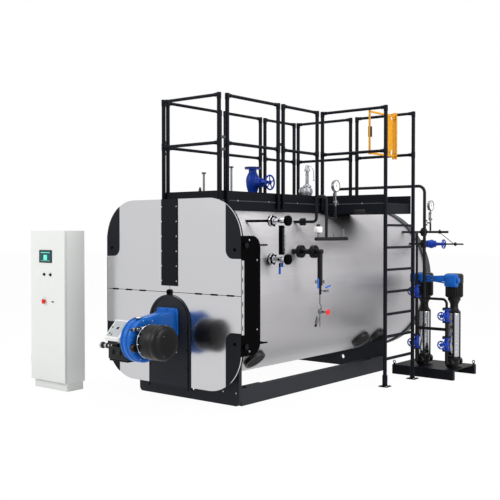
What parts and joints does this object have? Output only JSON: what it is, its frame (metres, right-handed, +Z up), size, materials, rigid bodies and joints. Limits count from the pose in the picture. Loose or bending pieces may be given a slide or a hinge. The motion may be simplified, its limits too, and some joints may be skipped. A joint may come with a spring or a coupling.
{
  "type": "industrial boiler",
  "caption": "Packaged fire-tube boiler with round steel jacket, clad front, burner, top platform with railings, ladder and gate, fittings, feed pump set and control cabinet.",
  "frame": {"origin": "on the floor, in the middle of the front saddle plate's underside, straight below the shell's axis", "axes": "+Y runs along the shell's axis from the burner to the rear, +Z is up, +X is to the right as seen from the burner"},
  "size_m": [3.852, 5.105, 3.424],
  "materials": {
    "burner_blue": "gloss paint",
    "cabinet_grey": "fine textured paint",
    "collar_grey": "satin paint",
    "deck_steel": "ribbed, satin paint",
    "desk_silver": "matt",
    "drive_blue": "smooth",
    "drum_black": "satin paint",
    "fitting_grey": "satin paint",
    "fitting_steel": "machined",
    "gate_yellow": "gloss paint",
    "gauge_black": "satin paint",
    "gauge_chrome": "polished",
    "jacket_steel": "fine brushed",
    "panel_grey": "gloss paint",
    "plate_dark": "satin paint",
    "pump_black": "satin paint",
    "pump_steel": "fine brushed",
    "rail_black": "satin powder coat",
    "rear_grey": "satin paint",
    "saddle_steel": "satin paint",
    "side_black": "satin paint",
    "transmitter_white": "smooth",
    "valve_blue": "gloss paint",
    "wheel_blue": "gloss paint",
    "wheel_red": "gloss paint"
  },
  "bodies": {
    "boiler": {"base_beams": "saddle_steel", "burner_desk": "desk_silver", "burner_duct": "burner_blue", "burner_plate": "plate_dark", "cabinet_body": "cabinet_grey", "centre_strip": "plate_dark", "corner_plates": "plate_dark", "fan_housing": "burner_blue", "fan_motor": "drum_black", "feed_pipe": "gauge_black", "flue_outlet": "rear_grey", "front_frame": "side_black", "front_saddle": "saddle_steel", "gas_valve": "fitting_steel", "gate_channel": "gate_yellow", "gate_valves": "valve_blue", "gauge_glass": "gauge_black", "handholes": "gauge_black", "jacket": "jacket_steel", "ladder": "rail_black", "level_gauge": "gauge_chrome", "lower_sheets": "panel_grey", "platform_deck": "deck_steel", "platform_frame": "deck_steel", "pressure_gauges": "gauge_chrome", "pressure_pipe": "gauge_black", "pump_drives": "drive_blue", "pump_feet": "pump_black", "pump_motors": "pump_black", "pump_pipes": "fitting_steel", "pump_skid": "saddle_steel", "pump_stacks": "pump_steel", "railing_front": "rail_black", "railing_landing": "rail_black", "railing_left": "rail_black", "railing_rear": "rail_black", "railing_right": "rail_black", "rear_collar": "collar_grey", "rear_door": "rear_grey", "rear_end": "rear_grey", "rear_saddle": "saddle_steel", "rear_valves": "gauge_black", "safety_valve": "fitting_grey", "side_plates": "side_black", "steam_valve": "valve_blue", "toe_boards": "deck_steel", "top_nozzles": "fitting_grey", "transmitter": "transmitter_white", "upper_sheets": "panel_grey", "water_column": "gauge_black"},
    "gate": {"gate": "gate_yellow"},
    "steam_wheel": {"steam_wheel": "wheel_blue"},
    "rear_wheel": {"rear_wheel": "wheel_blue"},
    "drain_wheel": {"drain_wheel": "wheel_red"},
    "wheel_a_low": {"wheel_a_low": "wheel_blue"},
    "wheel_a_high": {"wheel_a_high": "wheel_blue"},
    "wheel_b_low": {"wheel_b_low": "wheel_blue"},
    "wheel_b_high": {"wheel_b_high": "wheel_blue"},
    "cabinet_door": {"cabinet_door": "cabinet_grey"}
  },
  "joints": [
    {"name": "gate_hinge", "type": "hinge", "parent": "boiler", "child": "gate", "pos_m": [1.14, 2.643, 3.119], "axis": [0, 0, -1], "range_deg": [0, 88], "stiffness_Nm_per_rad": 2, "springref_deg": -20.05},
    {"name": "steam_wheel_turn", "type": "hinge", "parent": "boiler", "child": "steam_wheel", "pos_m": [0.27, 1.165, 2.49], "axis": [1, 0, 0], "range_deg": [0, 2520]},
    {"name": "rear_wheel_turn", "type": "hinge", "parent": "boiler", "child": "rear_wheel", "pos_m": [1.385, 3.6, 1.722], "axis": [1, 0, 0], "range_deg": [0, 1800]},
    {"name": "drain_wheel_turn", "type": "hinge", "parent": "boiler", "child": "drain_wheel", "pos_m": [1.38, 0.78, 1], "axis": [1, 0, 0], "range_deg": [0, 1080]},
    {"name": "cabinet_door_hinge", "type": "hinge", "parent": "boiler", "child": "cabinet_door", "pos_m": [-1.984, -0.678, 1], "axis": [0, 0, -1], "range_deg": [0, 110]},
    {"name": "wheel_a_low_turn", "type": "hinge", "parent": "boiler", "child": "wheel_a_low", "pos_m": [1.296, 2.85, 0.447], "axis": [0, -1, 0], "range_deg": [0, 2160]},
    {"name": "wheel_a_high_turn", "type": "hinge", "parent": "boiler", "child": "wheel_a_high", "pos_m": [1.296, 2.85, 1.114], "axis": [0, -1, 0], "range_deg": [0, 2160]},
    {"name": "wheel_b_low_turn", "type": "hinge", "parent": "boiler", "child": "wheel_b_low", "pos_m": [1.722, 2.85, 0.447], "axis": [0, -1, 0], "range_deg": [0, 2160]},
    {"name": "wheel_b_high_turn", "type": "hinge", "parent": "boiler", "child": "wheel_b_high", "pos_m": [1.722, 2.85, 0.815], "axis": [0, -1, 0], "range_deg": [0, 2160]}
  ]
}
